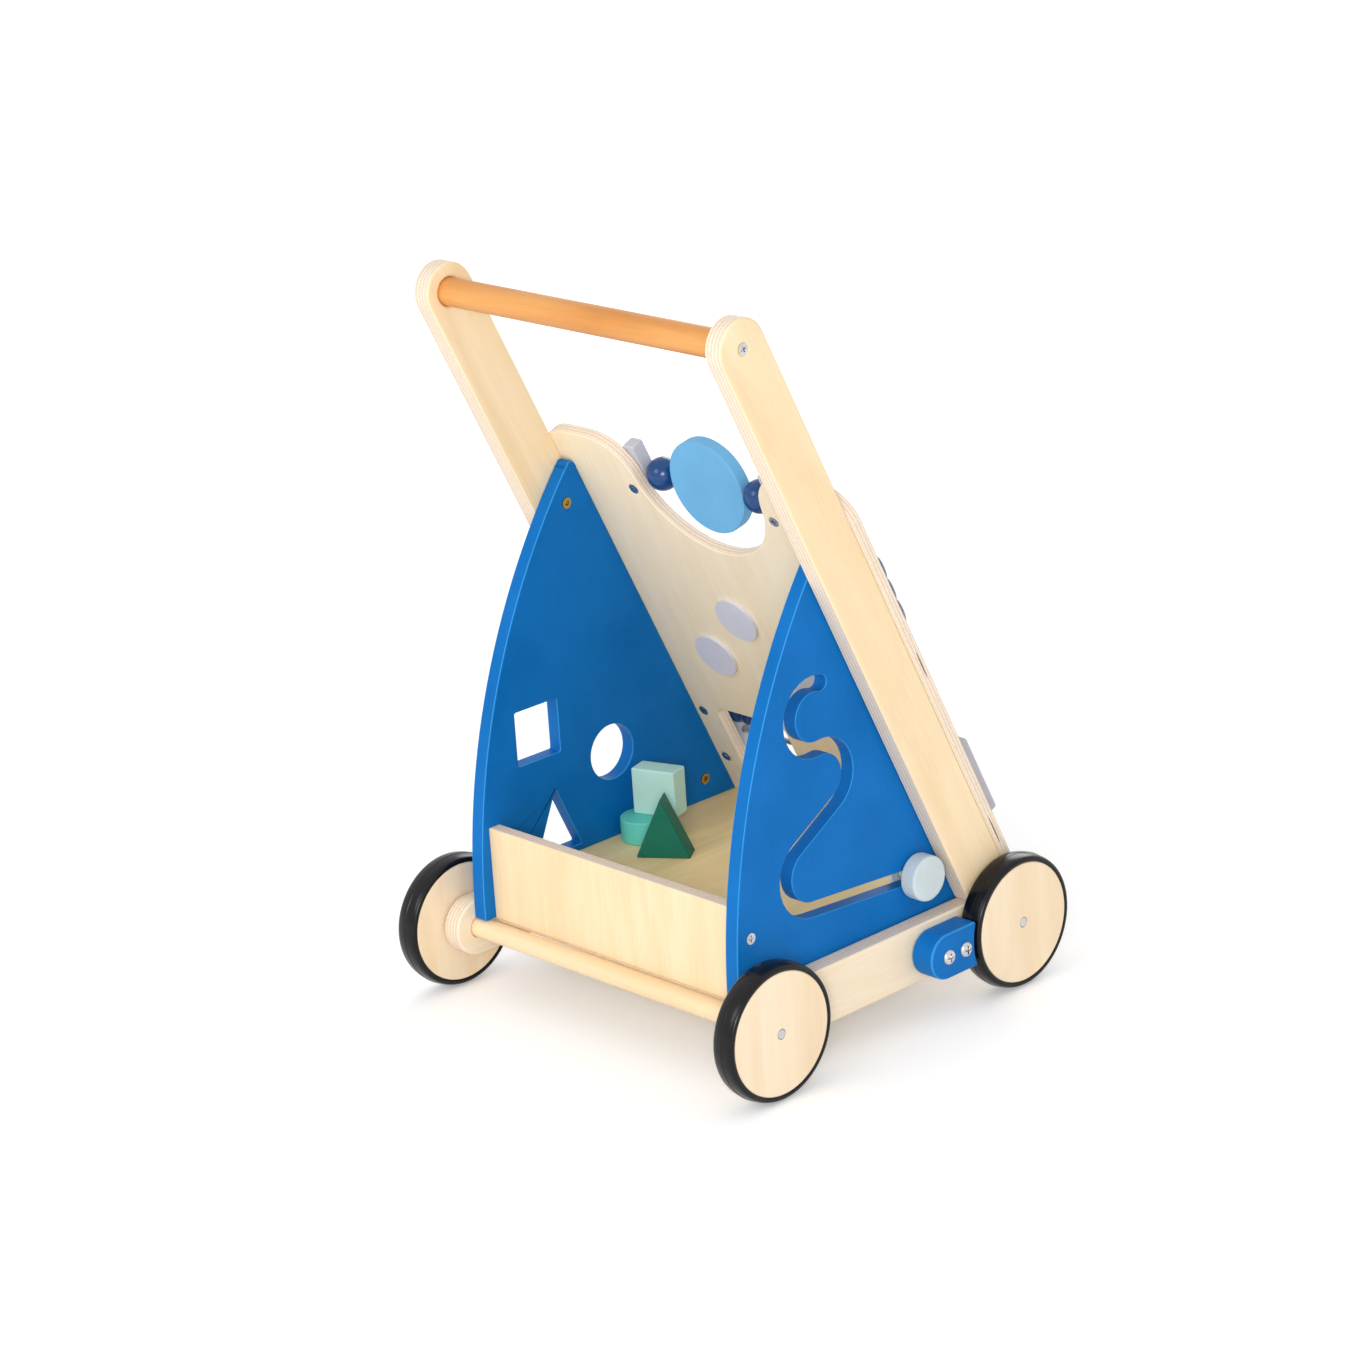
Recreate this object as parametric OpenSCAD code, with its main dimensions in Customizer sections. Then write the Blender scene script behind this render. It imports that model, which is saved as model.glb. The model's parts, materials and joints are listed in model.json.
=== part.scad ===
// Wooden baby walker with an activity board, a sorter tray and a slider maze.
// X runs across the walker (+X is the right side for the child who pushes it),
// Y runs forwards and Z runs up. The origin is on the ground, midway between the wheels.

/* [Wheels] */
// Distance between the rear and the front axle
wheelbase = 240; // [200:1:300]
// Outer diameter of the tyres
wheel_d = 97; // [78:1:120]
// Width of a wheel and its tyre
wheel_w = 18; // [14:0.5:24]
// Thickness of the rubber tyre
tyre_t = 5; // [3:0.5:8]
// Gap between a wheel and the rail beside it
wheel_gap = 2; // [1.5:0.5:5]
// Diameter of the steel axle pins
pin_d = 4; // [3:0.5:6]

/* [Side frames] */
// Clear width between the two side frames
inner_w = 267; // [215:1:325]
// Thickness of the arms and rails
frame_t = 15; // [12:0.5:20]
// Width of the arms
arm_w = 41; // [32:1:50]
// Length of an arm from the front axle to the handle
arm_len = 508; // [420:1:620]
// Lean of the arms back from the vertical
arm_lean = 25.5; // [20:0.5:32]
// Height of the side rails
rail_w = 42; // [34:1:50]
// Diameter of the round handle
handle_d = 20; // [16:0.5:26]
// Depth of the sockets that hold the handle and the cross dowels
socket_depth = 6; // [3:0.5:9]
// Diameter of the cross dowels between the rails
cross_dowel_d = 15; // [12:0.5:20]

/* [Side panels] */
// Thickness of the two side panels
panel_t = 12; // [9:0.5:18]
// Radius of the long curved rear edge
panel_curve_r = 482; // [420:1:580]
// Height at which the curved edge stands upright
panel_curve_z = 62; // [40:1:90]
// Distance of the panels' rear edge behind the rear axle
panel_overhang = 4; // [0:0.5:12]
// Radius of the panel's top
panel_tip_r = 4; // [2:0.5:8]

/* [Tray] */
// Thickness of the tray floor
floor_t = 10; // [8:0.5:15]
// Height of the tray floor's top above the axles
floor_rise = 32.5; // [30:0.5:45]
// Depth of the grooves that hold the floor
groove_depth = 3; // [2:0.5:5]
// Thickness of the rear wall
wall_t = 10; // [8:0.5:15]
// Height of the rear wall
wall_h = 71.1; // [50:0.5:90]
wall_rebate = 0.6; // [0.4:0.1:2]
// Distance from the rear axle forward to the rear wall
wall_inset = 5.5; // [2:0.5:20]

/* [Sorter holes] */
// Side of the square hole
square_hole = 40; // [36.5:0.5:46]
// Diameter of the round hole
round_hole_d = 41; // [37:0.5:48]
// Base of the triangular hole
triangle_hole_w = 43; // [42:0.5:50]
// Height of the triangular hole
triangle_hole_h = 48; // [47.5:0.5:54]

/* [Blocks] */
// Thickness of the three blocks
block_t = 17.5; // [12:0.5:24]
// Side of the square block
square_block = 35; // [28:0.5:38]
// Diameter of the round block
round_block_d = 35; // [28:0.5:38]
// Base of the triangular block
triangle_block_w = 40; // [32:0.5:41]
// Height of the triangular block
triangle_block_h = 45; // [36:0.5:46.5]

/* [Slider maze] */
// Width of the curved slot
slot_w = 11; // [9:0.5:14]
// Distance of the knob's rest place in front of the middle of the walker
knob_y = 50; // [30:1:60]
// Height of the knob's rest place
knob_rise = 50; // [46.5:0.5:66.5]
// Diameter of the sliding knob
knob_d = 32.5; // [24:0.5:36]
// Thickness of the sliding knob
knob_t = 13; // [8:0.5:18]

/* [Brake blocks] */
// Height of the blocks
brake_h = 33; // [26:0.5:40]
// Thickness of the blocks
brake_t = 20; // [12:0.5:22]
// Length from the rounded end's centre to the tips at the tyre
brake_len = 30; // [26:0.5:45]
// Gap between the block and the tyre
brake_gap = 1.7; // [1:0.1:4]

/* [Activity board] */
// Thickness of the board
board_t = 9; // [8:0.5:14]
// Distance of the board's top below the handle, along the arms
board_top = 136.5; // [120:0.5:150]
// Distance of the board's bottom below the handle, along the arms
board_bottom = 500; // [480:1:520]
// Radius of the board's outer corners
board_corner_r = 30; // [15:1:32]
// Radius of the shoulders beside the notch
shoulder_r = 36; // [25:1:40]
// Radius of the notch
notch_r = 61.5; // [58:0.5:66]
// Distance of the notch's centre below the handle, along the arms
notch_at = 161; // [150:0.5:170]
// Width across the two bead windows
window_w = 196; // [160:1:205]
// Width of the post between the two bead windows
window_post = 60; // [40:1:80]
// Height of the bead windows
window_h = 61; // [50:1:66]
// Distance of the windows' top below the handle, along the arms
window_top = 394.5; // [385:0.5:405]

/* [Flip disc] */
// Distance of the flip rod below the handle, along the arms
flip_rod_at = 172; // [165:0.5:180]
// Diameter of the flip rod
flip_rod_d = 6; // [4:0.5:8]
// Diameter of the turning disc
flip_disc_d = 70; // [56:0.5:72]
// Thickness of the turning disc
flip_disc_t = 10; // [9:0.5:14]
// Diameter of the two ball beads
flip_bead_d = 24; // [20:0.5:25]
// Turn of the disc from the board's plane
flip_disc_turn = -12.7; // [-40:0.1:40]
// Length of the rod brackets along the arms
flip_bracket_len = 40; // [34:1:50]
// Width of the rod brackets
flip_bracket_w = 16; // [12:0.5:20]
// Thickness of the rod brackets
flip_bracket_t = 10; // [10:0.5:16]

/* [Gears] */
// Number of teeth on each gear
gear_teeth = 12; // [10:1:14]
// Sideways step from one gear to the next
gear_step_x = 43; // [36:0.5:46]
// Step along the board from one gear to the next
gear_step_s = 44.5; // [36:0.5:48]
// Distance of the upper gears below the handle, along the arms
gear_upper_at = 288.5; // [280:0.5:300]
// Thickness of the gears
gear_t = 12; // [8:0.5:16]
// Diameter of the shafts that the gears turn on
gear_shaft_d = 10; // [8:0.5:14]
// Diameter of the heads on the board's rear face
gear_head_d = 36.5; // [28:0.5:40]
// Height of those heads
gear_head_t = 2.5; // [1.5:0.5:4]

/* [Bead rows] */
// Diameter of the beads
bead_d = 22; // [18:0.5:22.5]
// Width of a bead
bead_w = 12; // [9:0.5:13]
// Diameter of the bead rods
bead_rod_d = 5; // [4:0.5:7]
// Distance between the two rods
bead_row_step = 23; // [23:0.5:28]
// Thickness of the side bars in front of the board
bar_t = 24; // [22:0.5:28]
// Width of the side bars
bar_w = 16; // [12:0.5:18]
// Clear distance between the side bars
bar_gap = 214; // [206:1:220]

/* [Rollers] */
// Diameter of the two rollers
roller_d = 20; // [14:0.5:22]
// Length of the rollers
roller_len = 57; // [40:0.5:60]
// Distance of the rollers' middle below the handle, along the arms
roller_at = 247.5; // [235:0.5:255]
// Distance of the rollers from the middle of the board
roller_x = 119; // [112:0.5:124]

/* [Fasteners] */
// Diameter of the screw shanks
screw_d = 4; // [3:0.5:5]
// Diameter of the small screw heads
screw_head_d = 8; // [6:0.5:10]
// Diameter of the large screw heads on the brake blocks
brake_head_d = 11; // [9:0.5:12]

/* [Hidden] */
$fn = 64;

// Clearances
running = 0.1;    // radial, between a turning or sliding piece and its pin
fit = 0.05;       // radial, between a fixed peg or screw and its hole
side_gap = 0.5;   // between moving pieces, side by side
eps = 0.1;        // how far a cutting tool passes a face
far = 900;        // longer than anything in the walker

// Colours
birch = [0.96, 0.87, 0.7];
blue = [0, 0.44, 0.75];
deep_blue = [0, 0.24, 0.47];
pale_blue = [0.42, 0.68, 0.86];
grey = [0.78, 0.79, 0.84];
knob_grey = [0.82, 0.87, 0.88];
beech = [0.9, 0.65, 0.38];
rubber = [0.09, 0.09, 0.1];
steel = [0.75, 0.76, 0.78];
brass = [0.72, 0.58, 0.3];
mint = [0.72, 0.88, 0.83];
turquoise = [0.35, 0.76, 0.7];
green = [0.12, 0.42, 0.35];

// Places of the side frames, seen from the side as [Y, Z]
axle_h = wheel_d/2;
rear_y = -wheelbase/2;
front_y = wheelbase/2;
handle_y = front_y - arm_len*sin(arm_lean);
handle_z = axle_h + arm_len*cos(arm_lean);
rail_top = axle_h + rail_w/2;
half_w = inner_w/2;                        // inner face of the arms and rails
outer_w = half_w + frame_t;                // outer face of the arms and rails
wheel_x = outer_w + wheel_gap;             // inner face of the wheels
panel_x = half_w - panel_t;                // inner face of the side panels

// Places of the tray and the panels
panel_bottom = axle_h + cross_dowel_d/2 + side_gap;
panel_back = rear_y - panel_overhang;
floor_top = axle_h + floor_rise;
knob_z = axle_h + knob_rise;                // the knob's rest place
wall_y = rear_y + wall_inset;              // outer face of the rear wall
wall_bottom = axle_h                        // just clear of the rear dowel
    + sqrt(max(0, pow(cross_dowel_d/2 + side_gap, 2) - pow(wall_inset + wall_rebate, 2)));
wall_face_bottom = axle_h + cross_dowel_d/2 + side_gap;    // the rear wall's outer face starts above the dowel

// The front line of the arms: distance of the board's rear face from the arms' middle
board_n = arm_w/2;
function front_line_y(z) = handle_y + board_n/cos(arm_lean) + (handle_z - z)*tan(arm_lean);

// Fixing screws, their places and sizes
panel_screw_s = [186, arm_len - 54];       // along the arms, below the handle
panel_rail_screw_y = [-70, 40];            // along the rails
panel_screw_len = panel_t + frame_t - 3;
wall_screw_z = [wall_bottom + wall_h*0.28, wall_bottom + wall_h*0.71];
wall_screw_len = 32;
socket_head_t = 4;                         // height of a socket head
cone_t = 2.5;                              // height of a countersunk head
pan_head_t = 2.6;                          // height of a pan head
arm_dowel_d = 8;
arm_dowel_len = 36;
arm_dowel_y = [front_line_y(rail_top) - 38, front_line_y(rail_top) - 26];
pin_head_d = pin_d + 2.5;
pin_head_t = 1.6;
pin_depth = 24;                            // length of an axle pin inside its cross dowel
pin_sink = 0.5;                            // how far a pin's head lies below the wheel's face

// Slider maze: legs of [length, turn in degrees] from the knob's rest place
slot_heading = 176;
slot_legs = [[101, 0], [64, -146], [46, 0], [62, 158], [84, -208]];
stem_d = slot_w - 2*side_gap;
tenon_d = 6;
washer_d = slot_w + 11;
washer_t = 3;

// Activity board, places in its own plane: x across, s down along the arms, n out to the front
board_w = 2*outer_w;
rod_n = board_t + flip_bracket_t/2;
flip_bead_x = flip_disc_d/2 + side_gap + flip_bead_d/2;
bracket_x = flip_bead_x + flip_bead_d/2 + 2*side_gap;
bracket_screw_s = flip_rod_at + 7;
gear_xs = [-1.5*gear_step_x, -0.5*gear_step_x, 0.5*gear_step_x, 1.5*gear_step_x];
gear_ss = [gear_upper_at + gear_step_s, gear_upper_at, gear_upper_at + gear_step_s, gear_upper_at];
gear_pitch_r = norm([gear_step_x, gear_step_s])/2;
gear_module = 2*gear_pitch_r/gear_teeth;
gear_n = board_t + side_gap;               // rear face of the gears
gear_cap_t = 6;
gear_cap_d = gear_shaft_d + 8;
bar_x = bar_gap/2;
window_mid = window_top + window_h/2;
bar_len = window_h + 5;
bead_n = board_t + bar_t/2;
bead_row_s = [window_mid - bead_row_step/2, window_mid + bead_row_step/2];
bar_screw_s = [window_mid - bar_len*0.35, window_mid + bar_len*0.35];
upper_beads = [0, 1, 6.2, 14.5];           // rest places in bead widths from the left bar
lower_beads = [1, 8, 15.5];
board_screw_s = [board_top + 40, (board_top + board_bottom)/2, board_bottom - 70];
roller_bracket = [12, 10, 17];             // across, along and out of the board
roller_n = board_t + 10.5;
spigot_d = 6;
spigot_len = 6;

// ---- helpers ----

// Stands children drawn as [Y, Z] on edge, from x0 to x0 + t across the walker
module across(x0, t) {
    translate([x0, 0, 0]) rotate([90, 0, 90]) linear_extrude(t) children();
}

// A round bar across the walker, through y and z
module cross_bar(x0, x1, y, z, d) {
    translate([x0, y, z]) rotate([0, 90, 0]) cylinder(d = d, h = x1 - x0);
}

// Puts children on the right side, or mirrors them to the left
module on_side(side) {
    if (side == "right") children();
    else mirror([1, 0, 0]) children();
}

module on_both_sides() {
    children();
    mirror([1, 0, 0]) children();
}

// The arms' own frame: x across, y down along the arms from the handle, z out to the front
module along_arms() {
    translate([0, handle_y, handle_z]) rotate([arm_lean - 90, 0, 0]) children();
}

// The board's own frame: as the arms', with z = 0 on the board's rear face
module on_board() {
    along_arms() translate([0, 0, board_n]) children();
}

// A cross recess for a screwdriver, sunk from z = 0
module cross_recess(d) {
    for (turn = [0, 90]) rotate(turn) translate([-d*0.3, -d*0.07, -d*0.2]) cube([d*0.6, d*0.14, d*0.2 + eps]);
}

// A countersunk screw that points to -z, with its head's top at z = 0
module flat_screw(length, clearance = 0) {
    difference() {
        union() {
            translate([0, 0, -cone_t])
                cylinder(d1 = screw_d + 2*clearance, d2 = screw_head_d + 2*clearance, h = cone_t);
            translate([0, 0, -length]) cylinder(d = screw_d + 2*clearance, h = length - cone_t + eps);
            if (clearance > 0) cylinder(d = screw_head_d + 2*clearance, h = eps);
        }
        if (clearance == 0) cross_recess(screw_head_d);
    }
}

// A pan head screw that points to -z, with its head standing on z = 0
module pan_screw(length, head_d) {
    translate([0, 0, -length]) cylinder(d = screw_d, h = length + eps);
    difference() {
        rotate_extrude() polygon(concat([[0, 0]],
            [for (a = [0:15:90]) [head_d/2*pow(cos(a), 0.5), pan_head_t*sin(a)]]));
        translate([0, 0, pan_head_t]) cross_recess(head_d);
    }
}

// A socket head screw that points to -z, with its head's top at z = 0
module socket_screw(length, clearance = 0) {
    difference() {
        union() {
            translate([0, 0, -socket_head_t]) cylinder(d = screw_head_d + 2*clearance, h = socket_head_t + clearance);
            translate([0, 0, -length]) cylinder(d = screw_d + 2*clearance, h = length - socket_head_t + eps);
        }
        if (clearance == 0) translate([0, 0, -socket_head_t*0.6]) cylinder(d = screw_head_d*0.55, h = far, $fn = 6);
    }
}

// ---- side frames ----

// The strip from the front axle up to the handle, with a round top
module arm_strip() {
    translate([handle_y, handle_z]) circle(d = arm_w);
    translate([front_y, axle_h]) rotate(arm_lean) translate([-arm_w/2, -rail_w]) square([arm_w, arm_len + rail_w]);
}

// Everything in front of the arms' front line
module ahead_of_arms() {
    translate([front_y, axle_h]) rotate(arm_lean) translate([arm_w/2, -far/2]) square([far, 2*far]);
}

module arm_body() {
    difference() {
        across(half_w, frame_t) difference() {
            arm_strip();
            translate([-far, rail_top - far]) square([2*far, far]);
        }
        cross_bar(half_w - eps, half_w + socket_depth, handle_y, handle_z, handle_d + 2*fit);
        along_arms() translate([outer_w, 0, 0]) rotate([0, 90, 0]) flat_screw(frame_t + 1, fit);
        along_arms() for (s = panel_screw_s) translate([panel_x, s, 0]) rotate([0, -90, 0])
            socket_screw(panel_screw_len, fit);
        arm_dowel_places() cylinder(d = arm_dowel_d + 2*fit, h = arm_dowel_len + 1, center = true);
        on_board() board_screw_places() flat_screw(board_screw_len(), fit);
    }
}

module rail_outline() {
    difference() {
        union() {
            for (y = [rear_y, front_y]) translate([y, axle_h]) circle(d = rail_w);
            translate([rear_y, axle_h - rail_w/2]) square([wheelbase, rail_w]);
            intersection() {
                arm_strip();
                translate([front_y - rail_w, axle_h]) square([2*rail_w, rail_w/2]);
            }
        }
        ahead_of_arms();
    }
}

module rail_body() {
    difference() {
        across(half_w, frame_t) rail_outline();
        for (y = [rear_y, front_y]) {
            cross_bar(half_w - eps, half_w + socket_depth, y, axle_h, cross_dowel_d + 2*fit);
            cross_bar(half_w, far/2, y, axle_h, pin_d + 2*fit);
        }
        panel_rail_screws(fit);
        arm_dowel_places() cylinder(d = arm_dowel_d + 2*fit, h = arm_dowel_len + 1, center = true);
        brake_screw_places() translate([0, 0, -brake_t]) cylinder(d = screw_d + 2*fit, h = frame_t - 3, center = true);
    }
}

module arm_dowel_places() {
    for (y = arm_dowel_y) translate([half_w + frame_t/2, y, rail_top]) children();
}

module left_arm() { color(birch) on_side("left") arm_body(); }
module right_arm() { color(birch) on_side("right") arm_body(); }
module left_rail() { color(birch) on_side("left") rail_body(); }
module right_rail() { color(birch) on_side("right") rail_body(); }

module arm_dowels() {
    color(beech) on_both_sides() arm_dowel_places() cylinder(d = arm_dowel_d, h = arm_dowel_len, center = true);
}

module handle_bar() {
    color(beech) difference() {
        cross_bar(-half_w - socket_depth, half_w + socket_depth, handle_y, handle_z, handle_d);
        on_both_sides() cross_bar(half_w + socket_depth - handle_screw_len(), far/2, handle_y, handle_z, screw_d + 2*fit);
    }
}

function handle_screw_len() = frame_t + 20;

module handle_screws() {
    color(steel) on_both_sides() along_arms() translate([outer_w, 0, 0]) rotate([0, 90, 0])
        flat_screw(handle_screw_len());
}

// ---- axles and wheels ----

module cross_dowel(y) {
    color(birch) difference() {
        cross_bar(-half_w - socket_depth, half_w + socket_depth, y, axle_h, cross_dowel_d);
        on_both_sides() cross_bar(half_w + socket_depth - pin_depth - 1, far/2, y, axle_h, pin_d + 2*fit);
    }
}

module rear_dowel() { cross_dowel(rear_y); }
module front_dowel() { cross_dowel(front_y); }

module axle_pins() {
    head_x = wheel_x + wheel_w - pin_sink - pin_head_t;
    color(steel) on_both_sides() for (y = [rear_y, front_y]) {
        cross_bar(half_w + socket_depth - pin_depth, head_x + eps, y, axle_h, pin_d);
        cross_bar(head_x, head_x + pin_head_t, y, axle_h, pin_head_d);
    }
}

// A wheel's disc, turning on its pin at y
module wheel_disc(y) {
    chamfer = 0.8;
    rim_r = wheel_d/2 - tyre_t;
    color(birch) difference() {
        translate([wheel_x, y, axle_h]) rotate([0, 90, 0]) rotate_extrude($fn = 96) polygon([
            [0, 0], [rim_r - chamfer, 0], [rim_r, chamfer],
            [rim_r, wheel_w - chamfer], [rim_r - chamfer, wheel_w], [0, wheel_w]]);
        cross_bar(wheel_x - eps, wheel_x + wheel_w + eps, y, axle_h, pin_d + 2*running);
        cross_bar(wheel_x + wheel_w - pin_sink - pin_head_t - side_gap/2, wheel_x + wheel_w + eps, y, axle_h,
            pin_head_d + 2*side_gap);
    }
}

// A tyre with a crowned tread, as wide as the wheel
module wheel_tyre(y) {
    rim_r = wheel_d/2 - tyre_t;
    color(rubber) translate([wheel_x, y, axle_h]) rotate([0, 90, 0]) rotate_extrude($fn = 96) polygon(concat(
        [[rim_r, 1]],
        [for (a = [0:15:180]) [rim_r + 1.2 + (tyre_t - 1.2)*pow(sin(a), 0.6), wheel_w/2*(1 - cos(a))]],
        [[rim_r, wheel_w - 1]]));
}

module wheel_rear_left() { on_side("left") wheel_disc(rear_y); }
module wheel_rear_right() { on_side("right") wheel_disc(rear_y); }
module wheel_front_left() { on_side("left") wheel_disc(front_y); }
module wheel_front_right() { on_side("right") wheel_disc(front_y); }
module tyre_rear_left() { on_side("left") wheel_tyre(rear_y); }
module tyre_rear_right() { on_side("right") wheel_tyre(rear_y); }
module tyre_front_left() { on_side("left") wheel_tyre(front_y); }
module tyre_front_right() { on_side("right") wheel_tyre(front_y); }

// ---- brake blocks ----

brake_tip_y = front_y - sqrt(pow(wheel_d/2 + brake_gap, 2) - pow(brake_h/2, 2));
brake_y = brake_tip_y - brake_len;

module brake_screw_places() {
    for (y = [brake_y, brake_y + brake_len*0.57]) translate([outer_w + brake_t, y, axle_h]) rotate([0, 90, 0]) children();
}

module brake_body() {
    color(blue) difference() {
        across(outer_w, brake_t) difference() {
            union() {
                translate([brake_y, axle_h]) circle(d = brake_h);
                translate([brake_y, axle_h - brake_h/2]) square([brake_len, brake_h]);
            }
            translate([front_y, axle_h]) circle(d = wheel_d + 2*brake_gap, $fn = 96);
        }
        brake_screw_places() cylinder(d = screw_d + 2*fit, h = 3*brake_t, center = true);
    }
}

module left_brake_block() { on_side("left") brake_body(); }
module right_brake_block() { on_side("right") brake_body(); }

module brake_screws() {
    color(steel) on_both_sides() brake_screw_places() pan_screw(brake_t + (frame_t - 3)/2 - 0.5, brake_head_d);
}

// ---- side panels ----

// A sail: one long curved rear edge, and the arms' front line as its front edge
module panel_outline() {
    curve_y = panel_back + panel_curve_r;
    tip_z = panel_tip_z(panel_tip_r);
    tip_y = curve_y - sqrt(pow(panel_curve_r - panel_tip_r, 2) - pow(tip_z - panel_curve_z, 2));
    difference() {
        intersection() {
            translate([curve_y, panel_curve_z]) circle(r = panel_curve_r, $fn = 360);
            translate([panel_back - 1, panel_bottom]) square([far, tip_z - panel_bottom]);
        }
        ahead_of_arms();
    }
    translate([tip_y, tip_z]) circle(r = panel_tip_r, $fn = 32);
}

// Height at which a circle of radius r touches both the curved edge and the front line
function panel_tip_z(r, lo = 200, hi = 600, n = 40) =
    let (mid = (lo + hi)/2,
        y = panel_back + panel_curve_r - sqrt(pow(panel_curve_r - r, 2) - pow(mid - panel_curve_z, 2)),
        room = front_line_y(mid) - r/cos(arm_lean) - y)
    n == 0 ? mid : room > 0 ? panel_tip_z(r, mid, hi, n - 1) : panel_tip_z(r, lo, mid, n - 1);

module panel_blank() {
    difference() {
        across(panel_x, panel_t) panel_outline();
        along_arms() for (s = panel_screw_s) translate([panel_x, s, 0]) rotate([0, -90, 0])
            socket_screw(panel_screw_len, fit);
        panel_rail_screws(fit);
        for (z = wall_screw_z) wall_screw_at(z) flat_screw(wall_screw_len, fit);
        translate([panel_x - eps, wall_y + wall_t, floor_top - floor_t - fit])
            cube([groove_depth + eps, far, floor_t + 2*fit]);
    }
}

module panel_rail_screws(clearance = 0) {
    for (y = panel_rail_screw_y) translate([panel_x, y, (panel_bottom + rail_top)/2]) rotate([0, -90, 0])
        socket_screw(panel_screw_len, clearance);
}

module wall_screw_at(z) {
    translate([half_w, wall_y + wall_t/2, z]) rotate([0, 90, 0]) children();
}

module square_hole_shape() {
    translate([square_hole_y, square_hole_z]) square(square_hole, center = true);
}

module round_hole_shape() {
    translate([round_hole_y, round_hole_z]) circle(d = round_hole_d);
}

module triangle_hole_shape() {
    translate([triangle_hole_y, triangle_hole_z]) polygon([
        [-triangle_hole_w/2, 0], [triangle_hole_w/2, 0], [0, triangle_hole_h]]);
}

// Sorter holes, measured from the panel's rear edge and from the tray floor
square_hole_y = panel_back + 62;
square_hole_z = floor_top + 99.5;
round_hole_y = panel_back + 131;
round_hole_z = floor_top + 64.5;
triangle_hole_y = panel_back + 74.5;
triangle_hole_z = floor_top + 5;

module left_panel() {
    color(blue) on_side("left") difference() {
        panel_blank();
        across(panel_x - 1, panel_t + 2) square_hole_shape();
        cross_bar(panel_x - 1, half_w + 1, round_hole_y, round_hole_z, round_hole_d);
        across(panel_x - 1, panel_t + 2) triangle_hole_shape();
    }
}

module right_panel() {
    color(blue) difference() {
        panel_blank();
        across(panel_x - 1, panel_t + 2) polygon(slot_outline());
    }
}

module panel_screws() {
    color(brass) on_both_sides() {
        along_arms() for (s = panel_screw_s) translate([panel_x, s, 0]) rotate([0, -90, 0])
            socket_screw(panel_screw_len - 1);
        for (y = panel_rail_screw_y) translate([panel_x, y, (panel_bottom + rail_top)/2]) rotate([0, -90, 0])
            socket_screw(panel_screw_len - 1);
    }
}

module wall_screws() {
    color(steel) on_both_sides() for (z = wall_screw_z) wall_screw_at(z) flat_screw(wall_screw_len - 1);
}

// ---- slider maze ----

// The place and heading [y, z, heading] at the end of one leg that starts at st
function after_leg(st, leg) = leg[1] == 0
    ? [st[0] + leg[0]*cos(st[2]), st[1] + leg[0]*sin(st[2]), st[2]]
    : let (r = leg[0]*180/(PI*leg[1]), h = st[2] + leg[1])
        [st[0] + r*(sin(h) - sin(st[2])), st[1] - r*(cos(h) - cos(st[2])), h];

function leg_start(i) = i == 0 ? [knob_y, knob_z, slot_heading] : after_leg(leg_start(i - 1), slot_legs[i - 1]);

function leg_steps(leg) = leg[1] == 0 ? 1 : ceil(abs(leg[1])/11);

slot_path = concat([leg_start(0)], [for (i = [0:len(slot_legs) - 1])
    let (n = leg_steps(slot_legs[i])) for (j = [1:n]) after_leg(leg_start(i), slot_legs[i]*j/n)]);

function beside(st, d) = [st[0] - d*sin(st[2]), st[1] + d*cos(st[2])];

function slot_outline() = let (last = len(slot_path) - 1, a = slot_path[0], b = slot_path[last]) concat(
    [for (st = slot_path) beside(st, -slot_w/2)],
    [for (t = [-75:15:75]) [b[0] + slot_w/2*cos(b[2] + t), b[1] + slot_w/2*sin(b[2] + t)]],
    [for (i = [last:-1:0]) beside(slot_path[i], slot_w/2)],
    [for (t = [105:15:255]) [a[0] + slot_w/2*cos(a[2] + t), a[1] + slot_w/2*sin(a[2] + t)]]);

module slider_knob() {
    color(knob_grey) {
        cross_bar(half_w + side_gap, half_w + side_gap + knob_t, knob_y, knob_z, knob_d);
        cross_bar(panel_x - side_gap, half_w + side_gap + eps, knob_y, knob_z, stem_d);
        cross_bar(panel_x - side_gap - washer_t, panel_x, knob_y, knob_z, tenon_d);
    }
}

module slider_washer() {
    color(knob_grey) difference() {
        cross_bar(panel_x - side_gap - washer_t, panel_x - side_gap, knob_y, knob_z, washer_d);
        cross_bar(panel_x - far/2, panel_x + eps, knob_y, knob_z, tenon_d);
    }
}

// ---- tray ----

module tray_floor() {
    floor_bottom = floor_top - floor_t;
    w = panel_x + groove_depth - fit;
    color(birch) translate([0, wall_y + wall_t, 0]) difference() {
        translate([-w, 0, floor_bottom]) cube([2*w, far/2, floor_t]);
        translate([0, -wall_y - wall_t, 0]) across(-w - 1, 2*w + 2) ahead_of_arms();
    }
}

module rear_wall() {
    color(birch) difference() {
        translate([-panel_x, wall_y, wall_bottom]) cube([2*panel_x, wall_t, wall_h]);
        translate([-far/2, wall_y - wall_rebate, wall_bottom - 1])
            cube([far, 2*wall_rebate, wall_face_bottom - wall_bottom + 1]);
        on_both_sides() for (z = wall_screw_z) wall_screw_at(z) flat_screw(wall_screw_len, fit);
    }
}

// ---- activity board ----

// Right half of the top edge, from the middle of the notch out to the side
function board_edge() =
    let (shoulder_c = [sqrt(pow(notch_r + shoulder_r, 2) - pow(board_top + shoulder_r - notch_at, 2)),
            board_top + shoulder_r],
        meet = atan2(shoulder_c[0], shoulder_c[1] - notch_at),
        corner_c = [board_w/2 - board_corner_r, board_top + board_corner_r])
    concat(
        [for (i = [0:16]) [notch_r*sin(meet*i/16), notch_at + notch_r*cos(meet*i/16)]],
        [for (i = [15:-1:0]) [shoulder_c[0] - shoulder_r*sin(meet*i/16), shoulder_c[1] - shoulder_r*cos(meet*i/16)]],
        [for (a = [0:10:90]) [corner_c[0] + board_corner_r*sin(a), corner_c[1] - board_corner_r*cos(a)]]);

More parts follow.
